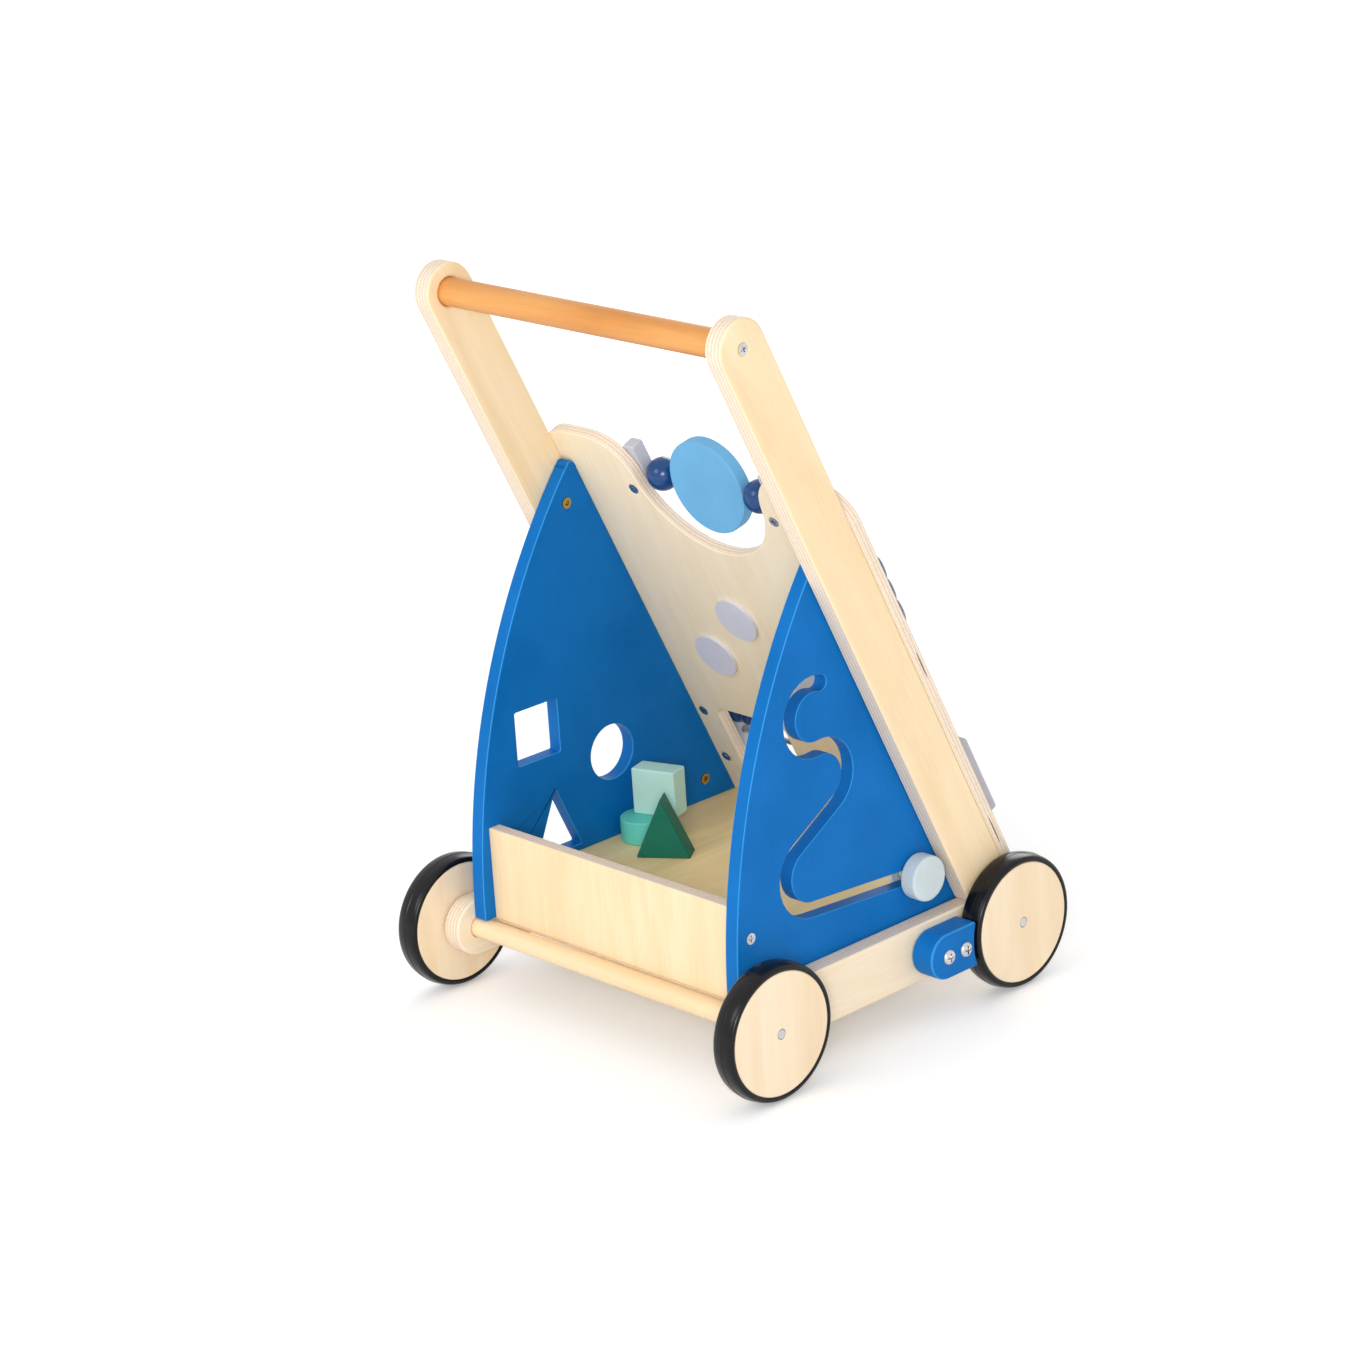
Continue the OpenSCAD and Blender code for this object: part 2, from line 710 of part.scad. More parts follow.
module board_outline() {
    edge = board_edge();
    polygon(concat(edge, [[board_w/2, board_bottom], [-board_w/2, board_bottom]],
        [for (i = [len(edge) - 1:-1:1]) [-edge[i][0], edge[i][1]]]));
}

// A rectangle with round corners, from its low corner
module round_rectangle(w, h, r) {
    translate([r, 0]) square([w - 2*r, h]);
    translate([0, r]) square([w, h - 2*r]);
    for (x = [r, w - r], y = [r, h - r]) translate([x, y]) circle(r = r, $fn = 32);
}

function board_screw_len() = board_t + arm_w*0.45;

// Screws through the board into the arms, heads on the board's front face
module board_screw_places() {
    for (s = board_screw_s) translate([half_w + frame_t/2, s, board_t]) children();
}

// Screws through the board into what stands in front of it, heads on its rear face
module rear_screw_places() {
    places = concat([[bracket_x + flip_bracket_w/2, bracket_screw_s]],
        [for (s = bar_screw_s) [bar_x + bar_w/2, s]]);
    for (p = places) translate([p[0], p[1], 0]) rotate([180, 0, 0]) children();
}

rear_screw_len = board_t + flip_bracket_t - 2;

module gear_places() {
    for (i = [0:3]) translate([gear_xs[i], gear_ss[i], 0]) children();
}

module activity_board() {
    window_r = 8;
    color(birch) on_board() difference() {
        linear_extrude(board_t) difference() {
            board_outline();
            for (x = [-window_w/2, window_post/2]) translate([x, window_top])
                round_rectangle((window_w - window_post)/2, window_h, window_r);
        }
        gear_places() translate([0, 0, -eps]) cylinder(d = gear_shaft_d + 2*fit, h = board_t + 1);
        on_both_sides() board_screw_places() flat_screw(board_screw_len(), fit);
        on_both_sides() rear_screw_places() flat_screw(rear_screw_len, fit);
    }
}

module board_front_screws() {
    color(steel) on_board() on_both_sides() board_screw_places() flat_screw(board_screw_len() - 1);
}

module board_rear_screws() {
    color(steel) on_board() on_both_sides() rear_screw_places() flat_screw(rear_screw_len - 0.5);
}

// ---- flip disc ----

module rod_bracket() {
    chamfer = flip_bracket_w*0.4;
    top_s = flip_rod_at - flip_bracket_len*0.62;
    color(grey) on_board() difference() {
        translate([bracket_x, top_s, board_t]) linear_extrude(flip_bracket_t) polygon([
            [0, 0], [flip_bracket_w - chamfer, 0], [flip_bracket_w, chamfer],
            [flip_bracket_w, flip_bracket_len], [0, flip_bracket_len]]);
        translate([bracket_x - eps, flip_rod_at, rod_n]) rotate([0, 90, 0])
            cylinder(d = flip_rod_d + 2*fit, h = flip_bracket_w - 3 + eps);
        rear_screw_places() flat_screw(rear_screw_len, fit);
    }
}

module left_rod_bracket() { on_side("left") rod_bracket(); }
module right_rod_bracket() { on_side("right") rod_bracket(); }

// A bar along x in the board's frame, centred on x = 0
module board_bar(s, n, d, length) {
    translate([-length/2, s, n]) rotate([0, 90, 0]) cylinder(d = d, h = length);
}

module flip_rod() {
    color(steel) on_board() board_bar(flip_rod_at, rod_n, flip_rod_d, 2*(bracket_x + flip_bracket_w - 3.5));
}

module flip_disc() {
    color(pale_blue) on_board() translate([0, flip_rod_at, rod_n]) rotate([flip_disc_turn, 0, 0]) difference() {
        cylinder(d = flip_disc_d, h = flip_disc_t, center = true, $fn = 96);
        rotate([0, 90, 0]) cylinder(d = flip_rod_d + 2*running, h = 2*flip_disc_d, center = true);
    }
}

module flip_bead() {
    color(deep_blue) on_board() difference() {
        translate([flip_bead_x, flip_rod_at, rod_n]) sphere(d = flip_bead_d);
        board_bar(flip_rod_at, rod_n, flip_rod_d + 2*running, far);
    }
}

module left_flip_bead() { on_side("left") flip_bead(); }
module right_flip_bead() { on_side("right") flip_bead(); }

// ---- gears ----

// Direction from gear i to gear i + 1
function gear_heading(i) = atan2(gear_ss[i + 1] - gear_ss[i], gear_xs[i + 1] - gear_xs[i]);

// Turn of each gear so that its teeth fall in the gaps of the one before
function gear_turn(i) = i == 0 ? gear_heading(0)
    : 2*gear_heading(i - 1) + 180 - 180/gear_teeth - gear_turn(i - 1);

module gear_outline() {
    root_r = gear_pitch_r - 0.68*gear_module;
    tip_r = gear_pitch_r + 0.5*gear_module;
    pitch = 360/gear_teeth;
    polygon([for (i = [0:gear_teeth - 1]) for (p = [[root_r, -0.32], [tip_r, -0.13], [tip_r, 0.13], [root_r, 0.32]])
        [p[0]*cos((i + p[1])*pitch), p[0]*sin((i + p[1])*pitch)]]);
}

module gear(i, tint) {
    hole_d = gear_pitch_r*0.3;
    color(tint) on_board() translate([gear_xs[i], gear_ss[i], gear_n]) rotate(gear_turn(i)) difference() {
        linear_extrude(gear_t) gear_outline();
        translate([0, 0, -eps]) cylinder(d = gear_shaft_d + 2*running, h = gear_t + 2*eps);
        for (a = [0:120:240]) rotate(a) translate([gear_pitch_r*0.6, 0, -eps]) cylinder(d = hole_d, h = gear_t + 2*eps);
    }
}

module gear_outer_left() { gear(0, pale_blue); }
module gear_inner_left() { gear(1, deep_blue); }
module gear_inner_right() { gear(2, mint); }
module gear_outer_right() { gear(3, turquoise); }

// Round heads on the rear face, with the shafts that the gears turn on
module gear_pegs() {
    color(grey) on_board() gear_places() {
        translate([0, 0, -gear_head_t]) cylinder(d = gear_head_d, h = gear_head_t);
        translate([0, 0, -eps]) cylinder(d = gear_shaft_d, h = gear_n + gear_t + side_gap + gear_cap_t/2 + eps);
    }
}

module gear_caps() {
    base = gear_n + gear_t + side_gap;
    color(grey) on_board() gear_places() translate([0, 0, base]) difference() {
        rotate_extrude() polygon(concat([[0, 0]],
            [for (a = [0:15:90]) [gear_cap_d/2*pow(cos(a), 0.4), gear_cap_t*(0.5 + 0.5*sin(a))]]));
        translate([0, 0, -eps]) cylinder(d = gear_shaft_d, h = gear_cap_t/2 + eps);
    }
}

// ---- bead rows ----

module bead_bar() {
    color(grey) on_board() difference() {
        translate([bar_x, window_mid - bar_len/2, board_t]) cube([bar_w, bar_len, bar_t]);
        for (s = bead_row_s) translate([bar_x - eps, s, bead_n]) rotate([0, 90, 0])
            cylinder(d = bead_rod_d + 2*fit, h = bar_w/2 + eps);
        rear_screw_places() flat_screw(rear_screw_len, fit);
    }
}

module left_bead_bar() { on_side("left") bead_bar(); }
module right_bead_bar() { on_side("right") bead_bar(); }

module bead_rods() {
    color(steel) on_board() for (s = bead_row_s) board_bar(s, bead_n, bead_rod_d, bar_gap + bar_w - 1);
}

// A bead with a rounded rim; place counts bead widths from the left bar
module bead(row, place, tint) {
    x = -bar_x + side_gap + bead_w/2 + place*(bead_w + side_gap);
    color(tint) on_board() translate([x, bead_row_s[row], bead_n]) rotate([0, 90, 0]) rotate_extrude($fn = 48)
        polygon(concat([[bead_rod_d/2 + running, -bead_w/2]],
            [for (a = [-90:15:90]) [bead_d/2 - bead_w/2 + bead_w/2*cos(a), bead_w/2*sin(a)]],
            [[bead_rod_d/2 + running, bead_w/2]]));
}

module upper_bead_1() { bead(0, upper_beads[0], deep_blue); }
module upper_bead_2() { bead(0, upper_beads[1], deep_blue); }
module upper_bead_3() { bead(0, upper_beads[2], deep_blue); }
module upper_bead_4() { bead(0, upper_beads[3], deep_blue); }
module lower_bead_1() { bead(1, lower_beads[0], pale_blue); }
module lower_bead_2() { bead(1, lower_beads[1], pale_blue); }
module lower_bead_3() { bead(1, lower_beads[2], pale_blue); }

// ---- rollers ----

module roller_brackets() {
    color(grey) on_board() on_both_sides() for (end = [-1, 1]) difference() {
        translate([roller_x - roller_bracket[0]/2,
            roller_at + end*(roller_len/2 + side_gap) + (end < 0 ? -roller_bracket[1] : 0), board_t])
            cube(roller_bracket);
        translate([roller_x, roller_at, roller_n]) rotate([90, 0, 0])
            cylinder(d = spigot_d + 2*running, h = roller_len + 2*side_gap + 2*spigot_len + 1, center = true);
    }
}

// A turned roller with three rounded rings and a spigot at each end
module roller() {
    rings = 3;
    ring_len = roller_len/rings;
    neck = 2;
    color(deep_blue) on_board() translate([roller_x, roller_at - roller_len/2, roller_n]) rotate([-90, 0, 0]) {
        rotate_extrude($fn = 48) polygon(concat([[0, 0]],
            [for (k = [0:rings - 1]) for (a = [0:20:180])
                [roller_d/2 - neck + neck*sin(a), ring_len*(k + 0.5 - 0.5*cos(a)*0.98)]],
            [[0, roller_len]]));
        translate([0, 0, -spigot_len]) cylinder(d = spigot_d, h = roller_len + 2*spigot_len);
    }
}

module left_roller() { on_side("left") roller(); }
module right_roller() { on_side("right") roller(); }

// ---- loose blocks, where they lie in the tray ----

round_block_at = [-panel_x + round_block_d/2 + 2, 15.5];
square_block_at = [-panel_x + 25, 27];
square_block_turn = 17.5;
triangle_block_at = [-panel_x + 55, 2];
triangle_block_turn = 34;

module round_block() {
    color(turquoise) translate([round_block_at[0], round_block_at[1], floor_top]) cylinder(d = round_block_d, h = block_t);
}

module square_block() {
    color(mint) translate([square_block_at[0], square_block_at[1], floor_top + block_t]) rotate(square_block_turn)
        translate([-square_block/2, -block_t/2, 0]) cube([square_block, block_t, square_block]);
}

module triangle_block() {
    color(green) translate([triangle_block_at[0], triangle_block_at[1], floor_top]) rotate(triangle_block_turn)
        rotate([90, 0, 0]) linear_extrude(block_t, center = true) polygon([
            [-triangle_block_w/2, 0], [triangle_block_w/2, 0], [0, triangle_block_h]]);
}

left_arm();
right_arm();
handle_bar();
handle_screws();
left_rail();
right_rail();
arm_dowels();
left_panel();
right_panel();
panel_screws();
wall_screws();
tray_floor();
rear_wall();
rear_dowel();
front_dowel();
axle_pins();
wheel_rear_left();
wheel_rear_right();
wheel_front_left();
wheel_front_right();
tyre_rear_left();
tyre_rear_right();
tyre_front_left();
tyre_front_right();
left_brake_block();
right_brake_block();
brake_screws();
activity_board();
board_front_screws();
board_rear_screws();
left_rod_bracket();
right_rod_bracket();
flip_rod();
flip_disc();
left_flip_bead();
right_flip_bead();
gear_pegs();
gear_outer_left();
gear_inner_left();
gear_inner_right();
gear_outer_right();
gear_caps();
left_bead_bar();
right_bead_bar();
bead_rods();
upper_bead_1();
upper_bead_2();
upper_bead_3();
upper_bead_4();
lower_bead_1();
lower_bead_2();
lower_bead_3();
roller_brackets();
left_roller();
right_roller();
slider_knob();
slider_washer();
square_block();
round_block();
triangle_block();
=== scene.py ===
"""Looks of the wooden baby walker: its finishes, rounded edges, tyres, light, floor and camera."""

import json
import math

import bmesh
import bpy
from mathutils import Matrix, Vector


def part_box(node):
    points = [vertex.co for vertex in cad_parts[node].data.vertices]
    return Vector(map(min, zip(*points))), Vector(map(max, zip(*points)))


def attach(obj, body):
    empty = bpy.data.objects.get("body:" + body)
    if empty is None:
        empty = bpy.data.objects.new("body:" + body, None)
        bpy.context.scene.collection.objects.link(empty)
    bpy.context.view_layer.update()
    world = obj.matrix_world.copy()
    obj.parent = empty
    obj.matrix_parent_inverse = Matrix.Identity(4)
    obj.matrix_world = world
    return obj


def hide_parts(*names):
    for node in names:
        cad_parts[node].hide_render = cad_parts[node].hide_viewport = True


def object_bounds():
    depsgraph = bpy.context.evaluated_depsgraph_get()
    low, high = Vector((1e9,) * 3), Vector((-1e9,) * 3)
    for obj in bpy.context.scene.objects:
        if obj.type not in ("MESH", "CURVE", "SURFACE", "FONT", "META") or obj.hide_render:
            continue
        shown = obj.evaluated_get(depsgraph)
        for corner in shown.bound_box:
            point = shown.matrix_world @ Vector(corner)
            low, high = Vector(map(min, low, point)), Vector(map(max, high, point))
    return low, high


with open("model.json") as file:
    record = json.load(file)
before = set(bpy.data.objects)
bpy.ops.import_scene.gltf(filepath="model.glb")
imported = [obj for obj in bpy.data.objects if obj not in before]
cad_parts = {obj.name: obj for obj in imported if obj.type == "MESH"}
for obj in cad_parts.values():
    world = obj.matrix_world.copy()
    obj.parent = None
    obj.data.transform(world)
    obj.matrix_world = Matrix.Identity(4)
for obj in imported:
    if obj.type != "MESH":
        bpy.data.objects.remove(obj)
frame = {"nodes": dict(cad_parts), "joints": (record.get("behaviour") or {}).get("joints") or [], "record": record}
cad_box = [list(corner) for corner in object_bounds()]
nodes = frame["nodes"]
body_of = {n: body for body, members in frame["record"]["behaviour"]["bodies"].items() for n in members}
joints = {joint["name"]: joint for joint in frame["joints"]}

MM = 0.001

# ---- directions, all taken from the frame ----

ACROSS = Vector((1, 0, 0))
FORWARDS = Vector((0, 1, 0))
UP = Vector((0, 0, 1))
BOARD_OUT = Vector(joints["gear_outer_left_spin"]["axis"]).normalized()
ALONG_ARM = ACROSS.cross(BOARD_OUT).normalized()    # points up the arms

# ---- colours ----


def srgb(red, green, blue):
    """A colour given as 0 to 255 on a screen, as the linear values that shaders use."""
    def linear(value):
        value /= 255
        return value / 12.92 if value <= 0.04045 else ((value + 0.055) / 1.055) ** 2.4
    return (linear(red), linear(green), linear(blue), 1.0)


def times(colour, factor, added=0.0):
    """A colour made darker or lighter."""
    return tuple(min(1, c * factor + added) for c in colour[:3]) + (1.0,)


WHITE = (1, 1, 1, 1)
BIRCH = srgb(252, 232, 196)
BIRCH_DARK = srgb(244, 216, 172)
PLY_LIGHT = srgb(250, 238, 222)
PLY_DARK = srgb(228, 200, 164)
GLUE = srgb(150, 105, 70)
FIBRE = srgb(205, 165, 115)
PORE = srgb(190, 145, 100)
BEECH = srgb(238, 180, 108)
BEECH_DARK = srgb(214, 146, 76)

# ---- node trees ----


class Graph:
    """Short calls that add and join the nodes of one tree."""

    def __init__(self, tree):
        self.tree = tree

    def node(self, kind, **settings):
        made = self.tree.nodes.new("ShaderNode" + kind)
        for key, value in settings.items():
            setattr(made, key, value)
        return made

    def join(self, output, target):
        self.tree.links.new(output, target)

    def math(self, operation, a, b=None):
        made = self.node("Math", operation=operation)
        for socket, value in zip(made.inputs, (a, b)):
            if value is None:
                continue
            if isinstance(value, (int, float)):
                socket.default_value = value
            else:
                self.join(value, socket)
        return made.outputs[0]

    def spread(self, value, source=(0.0, 1.0), target=(0.0, 1.0), **settings):
        """A value taken from one range to another, and held inside the second."""
        made = self.node("MapRange", **settings)
        self.join(value, made.inputs["Value"])
        for key, number in zip(("From Min", "From Max", "To Min", "To Max"), source + target):
            made.inputs[key].default_value = number
        return made.outputs["Result"]

    def seen(self):
        """1 where the camera looks straight at a surface, in a mirror or through glass, and 0 elsewhere."""
        path = self.node("LightPath")
        direct = self.math("MAXIMUM", path.outputs["Is Camera Ray"], path.outputs["Is Glossy Ray"])
        return self.math("MAXIMUM", direct, path.outputs["Is Transmission Ray"])


class Shader(Graph):
    """A Principled material and short calls for its colour, roughness and bumps."""

    def __init__(self, name, roughness, metallic=0.0, coat=0.0, specular=0.5):
        self.material = bpy.data.materials.new(name)
        self.material.use_nodes = True
        super().__init__(self.material.node_tree)
        self.bsdf = self.tree.nodes["Principled BSDF"]
        self.bsdf.inputs["Roughness"].default_value = roughness
        self.bsdf.inputs["Metallic"].default_value = metallic
        self.bsdf.inputs["Coat Weight"].default_value = coat
        self.bsdf.inputs["Coat Roughness"].default_value = 0.25
        self.bsdf.inputs["Specular IOR Level"].default_value = specular
        self.place = self.node("TexCoord")

    def dot(self, output, direction):
        made = self.node("VectorMath", operation="DOT_PRODUCT")
        self.join(output, made.inputs[0])
        made.inputs[1].default_value = direction
        return made.outputs["Value"]

    def along(self, direction):
        """The object coordinate along a direction, in metres."""
        return self.dot(self.place.outputs["Object"], direction)

    def facing(self, direction):
        """How squarely a face looks along a direction or against it, from 0 to 1."""
        return self.math("ABSOLUTE", self.dot(self.place.outputs["Normal"], direction))

    def stretched(self, axes, scales):
        """A vector of the coordinates along three axes, each times its scale."""
        joined = self.node("CombineXYZ")
        for socket, axis, scale in zip(joined.inputs, axes, scales):
            self.join(self.math("MULTIPLY", self.along(axis), scale), socket)
        return joined.outputs[0]

    def noise(self, detail, vector=None, scale=1.0, distortion=0.0):
        """Noise from 0 to 1, on the object's own coordinates where no vector is given."""
        made = self.node("TexNoise")
        self.join(vector or self.place.outputs["Object"], made.inputs["Vector"])
        made.inputs["Scale"].default_value = scale
        made.inputs["Detail"].default_value = detail
        made.inputs["Distortion"].default_value = distortion
        return made.outputs["Fac"]

    def rings(self, vector):
        """The wide bent bands of slab-sawn wood."""
        made = self.node("TexWave", wave_type="BANDS", bands_direction="Y")
        self.join(vector, made.inputs["Vector"])
        made.inputs["Scale"].default_value = 1.6
        made.inputs["Distortion"].default_value = 5.5
        made.inputs["Detail"].default_value = 3
        made.inputs["Detail Scale"].default_value = 1.2
        return made.outputs["Fac"]

    def ramp(self, value, low, high, colour_low, colour_high):
        made = self.node("ValToRGB")
        self.join(value, made.inputs["Fac"])
        first, last = made.color_ramp.elements
        first.position, last.position = low, high
        first.color, last.color = colour_low, colour_high
        return made.outputs["Color"]

    def mix(self, factor, a, b, blend="MIX"):
        made = self.node("Mix", data_type="RGBA", blend_type=blend)
        for i, value in ((0, factor), (6, a), (7, b)):    # the colour mode's own sockets
            if isinstance(value, (int, float, tuple)):
                made.inputs[i].default_value = value
            else:
                self.join(value, made.inputs[i])
        return made.outputs[2]

    def stain(self, base, amount, value, low, high, dark, light=WHITE):
        """base with a darker tint laid over it where value is high."""
        return self.mix(amount, base, self.ramp(value, low, high, light, dark), "MULTIPLY")

    def colour(self, output):
        self.join(output, self.bsdf.inputs["Base Color"])

    def rough(self, value, low, high):
        self.join(self.spread(value, target=(low, high)), self.bsdf.inputs["Roughness"])

    def bump(self, height, strength, distance):
        made = self.node("Bump")
        made.inputs["Strength"].default_value = strength
        made.inputs["Distance"].default_value = distance
        self.join(height, made.inputs["Height"])
        self.join(made.outputs["Normal"], self.bsdf.inputs["Normal"])


# ---- materials ----

# Waves per metre of the wood's patterns: along the grain, across it and through the board
BROAD_WAVES = (3.2, 26, 26)
RING_WAVES = (1.1, 9, 9)
FIBRE_WAVES = (22, 620, 620)
PORE_WAVES = (60, 1500, 1500)
END_GRAIN_WAVES = (900, 900, 900)
PAINTED_GRAIN_WAVES = (60, 700, 700)


def plywood_edge(s, face, axes, ply):
    """face, with layers ply thick and their glue lines on the board's edges."""
    thickness = axes[2]
    through = s.along(thickness)
    crosswise = s.math("GREATER_THAN", s.math("FRACT", s.math("MULTIPLY", through, 0.5 / ply)), 0.5)
    glue = s.math("LESS_THAN", s.math("PINGPONG", s.math("MULTIPLY", through, 1 / ply), 0.5), 0.07)
    end_grain = s.noise(2, s.stretched(axes, END_GRAIN_WAVES))
    layers = s.mix(s.math("MULTIPLY", crosswise, 0.55), PLY_LIGHT, PLY_DARK)
    layers = s.mix(s.math("MULTIPLY", glue, 0.35), layers, GLUE)
    layers = s.stain(layers, 0.35, end_grain, 0.35, 0.7, PLY_DARK)
    return s.mix(s.spread(s.facing(thickness), (0.75, 0.35)), face, layers)


def wood(name, light, dark, grain, thickness, ply=None, figure=1.0, coat=0.05):
    """Lacquered wood. grain is the way the fibres run, and thickness the way through the board.
    ply is the thickness of one layer, for plywood. figure makes the pattern stronger or fainter."""
    s = Shader(name, 0.45, coat=coat, specular=0.25)
    axes = (grain, grain.cross(thickness).normalized(), thickness)
    broad = s.noise(3, s.stretched(axes, BROAD_WAVES), distortion=1.4)
    fibre = s.noise(3, s.stretched(axes, FIBRE_WAVES))
    pores = s.noise(2, s.stretched(axes, PORE_WAVES))
    rings = s.rings(s.stretched(axes, RING_WAVES))
    face = s.ramp(broad, 0.3, 0.75, light, dark)
    face = s.stain(face, 0.10 * figure, rings, 0.35, 1.0, dark, light)
    face = s.stain(face, 0.10 * figure, fibre, 0.3, 0.8, FIBRE)
    face = s.stain(face, 0.14 * figure, pores, 0.62, 0.8, PORE)
    if ply:
        face = plywood_edge(s, face, axes, ply)
    s.colour(face)
    s.rough(fibre, 0.38, 0.55)
    s.bump(fibre, 0.12, 0.4 * MM)
    return s.material


def paint(name, colour, roughness=0.42, coat=0.0, specular=0.1, highlight_axis=None, highlight_colour=None):
    """Satin paint on wood: a faint grain shows through, and the colour varies a little.
    Given an axis, the way through a board, the rounded edges are painted paler as a painted highlight, not wear."""
    s = Shader(name, roughness, coat=coat, specular=specular)
    clouds = s.noise(4, scale=14)
    grain = s.noise(3, s.stretched((UP, ACROSS, FORWARDS), PAINTED_GRAIN_WAVES))
    specks = s.noise(2, scale=900)
    tint = s.ramp(clouds, 0.3, 0.7, times(colour, 0.86), times(colour, 1.05, 0.004))
    tint = s.stain(tint, 0.10, grain, 0.35, 0.75, (0.6, 0.6, 0.6, 1))
    # painted highlight: the colour turns paler halfway round each rounded edge, where the edge catches the light
    if highlight_axis is not None:
        highlight_mask = s.math("PINGPONG", s.facing(highlight_axis), 0.5)    # highest halfway round an edge
        tint = s.mix(s.spread(highlight_mask, (0.12, 0.35), (0.0, 0.6)), tint, highlight_colour)
    s.colour(tint)
    s.rough(specks, roughness - 0.06, roughness + 0.10)
    s.bump(s.math("ADD", s.math("MULTIPLY", grain, 0.5), specks), 0.10, 0.3 * MM)
    return s.material


def rubber(name):
    s = Shader(name, 0.3, specular=0.28)
    fine = s.noise(2, scale=1600)
    dust = s.noise(5, scale=30)
    s.colour(s.ramp(dust, 0.35, 0.8, srgb(8, 8, 10), srgb(20, 20, 22)))
    s.rough(dust, 0.16, 0.3)
    s.bump(fine, 0.15, 0.2 * MM)
    return s.material


def metal(name, colour, roughness):
    s = Shader(name, roughness, metallic=1.0)
    turned = s.noise(3, scale=1200)
    stains = s.noise(3, scale=80)
    s.colour(s.ramp(stains, 0.3, 0.7, colour, times(colour, 0.8)))
    s.rough(turned, roughness - 0.08, roughness + 0.12)
    s.bump(turned, 0.12, 0.2 * MM)
    return s.material


def plastic(name, colour):
    s = Shader(name, 0.32, coat=0.1)
    fine = s.noise(2, scale=1400)
    clouds = s.noise(3, scale=40)
    s.colour(s.ramp(clouds, 0.3, 0.7, colour, times(colour, 0.93)))
    s.rough(fine, 0.26, 0.42)
    s.bump(fine, 0.10, 0.2 * MM)
    return s.material


FRAME_PLY = 1.5 * MM
BOARD_PLY = 1.3 * MM
finish = {
    "arm": wood("birch_arm", BIRCH, BIRCH_DARK, ALONG_ARM, ACROSS, FRAME_PLY),
    "rail": wood("birch_rail", srgb(252, 238, 214), srgb(246, 226, 194), FORWARDS, ACROSS, FRAME_PLY),
    "board": wood("birch_board", srgb(251, 238, 212), srgb(243, 225, 192),
                  ALONG_ARM, BOARD_OUT, BOARD_PLY),
    "wall": wood("birch_wall", BIRCH, BIRCH_DARK, UP, FORWARDS, BOARD_PLY, figure=1.3),
    "floor": wood("birch_tray_floor", srgb(255, 236, 184), srgb(247, 218, 156),
                  FORWARDS, UP, BOARD_PLY, figure=1.5),
    "wheel": wood("birch_wheel", srgb(250, 232, 204), srgb(241, 215, 178),
                  UP, ACROSS, FRAME_PLY, figure=0.7),
    "dowel": wood("birch_dowel", BIRCH, BIRCH_DARK, ACROSS, UP, figure=1.2),
    "beech": wood("beech_handle", BEECH, BEECH_DARK, ACROSS, UP, figure=1.8, coat=0.1),
    # the paler blue along the panels' rounded edges is a painted highlight
    "blue": paint("blue_paint", srgb(0, 110, 188), highlight_axis=ACROSS, highlight_colour=srgb(70, 165, 230)),
    "pale_blue": paint("pale_blue_paint", srgb(112, 178, 222)),
    "deep_blue": paint("deep_blue_paint", srgb(0, 62, 122), roughness=0.2, coat=0.1, specular=0.4),
    "mint": paint("mint_paint", srgb(196, 238, 226)),
    "turquoise": paint("turquoise_paint", srgb(106, 214, 198)),
    "green": paint("green_paint", srgb(30, 112, 92)),
    "grey": paint("grey_paint", srgb(200, 200, 210)),
    "knob": paint("knob_paint", srgb(212, 224, 226)),
    "grey_plastic": plastic("grey_plastic", srgb(216, 215, 224)),
    # painted shade: the dark colour stands in for the shade inside the core's gaps
    "void": wood("core_shadow", srgb(104, 66, 36), srgb(62, 36, 20), UP, ACROSS),
    "rubber": rubber("tyre_rubber"),
    "steel": metal("zinc_plated_steel", srgb(214, 214, 216), 0.3),
    "gilt": metal("yellow_plated_steel", srgb(196, 168, 104), 0.34),
}

# ---- geometry helpers ----


def add_piece(name, mesh, material, body):
    piece = bpy.data.objects.new(name, mesh)
    bpy.context.scene.collection.objects.link(piece)
    mesh.materials.clear()
    mesh.materials.append(material)
    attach(piece, body)
    return piece


def outward_mesh(bm, name):
    """A mesh of what bm holds, with its faces turned outwards."""
    bmesh.ops.recalc_face_normals(bm, faces=bm.faces)
    mesh = bpy.data.meshes.new(name)
    bm.to_mesh(mesh)
    bm.free()
    return mesh


def clean_mesh(node):
    """The node's mesh with shared corners and its flat faces whole."""
    bm = bmesh.new()
    bm.from_mesh(nodes[node].data)
    bmesh.ops.remove_doubles(bm, verts=bm.verts, dist=1e-6)
    bmesh.ops.dissolve_limit(bm, angle_limit=math.radians(0.6), verts=bm.verts, edges=bm.edges)
    bm.verts.ensure_lookup_table()
    points = [v.co.copy() for v in bm.verts]
    faces = [[v.index for v in f.verts] for f in bm.faces]
    bm.free()
    mesh = bpy.data.meshes.new(node + "_rounded")
    mesh.from_pydata(points, [], faces)
    return mesh


def rounded(node, material, width):
    """Stands in for a CAD node, with its sharp edges rounded over by width."""
    piece = bpy.data.objects.new(node + "_piece", clean_mesh(node))
    bpy.context.scene.collection.objects.link(piece)
    bevel = piece.modifiers.new("round_edges", "BEVEL")
    bevel.width = width
    bevel.segments = 3
    bevel.limit_method = "ANGLE"
    bevel.angle_limit = math.radians(38)
    bevel.use_clamp_overlap = False
    bevel.miter_outer = "MITER_ARC"
    weight = piece.modifiers.new("flat_faces", "WEIGHTED_NORMAL")
    weight.weight = 100
    weight.keep_sharp = True
    for polygon in piece.data.polygons:
        polygon.use_smooth = True
    graph = bpy.context.evaluated_depsgraph_get()
    mesh = bpy.data.meshes.new_from_object(piece.evaluated_get(graph), depsgraph=graph)
    bpy.data.objects.remove(piece)
    made = add_piece(node + "_piece", mesh, material, body_of[node])
    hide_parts(node)


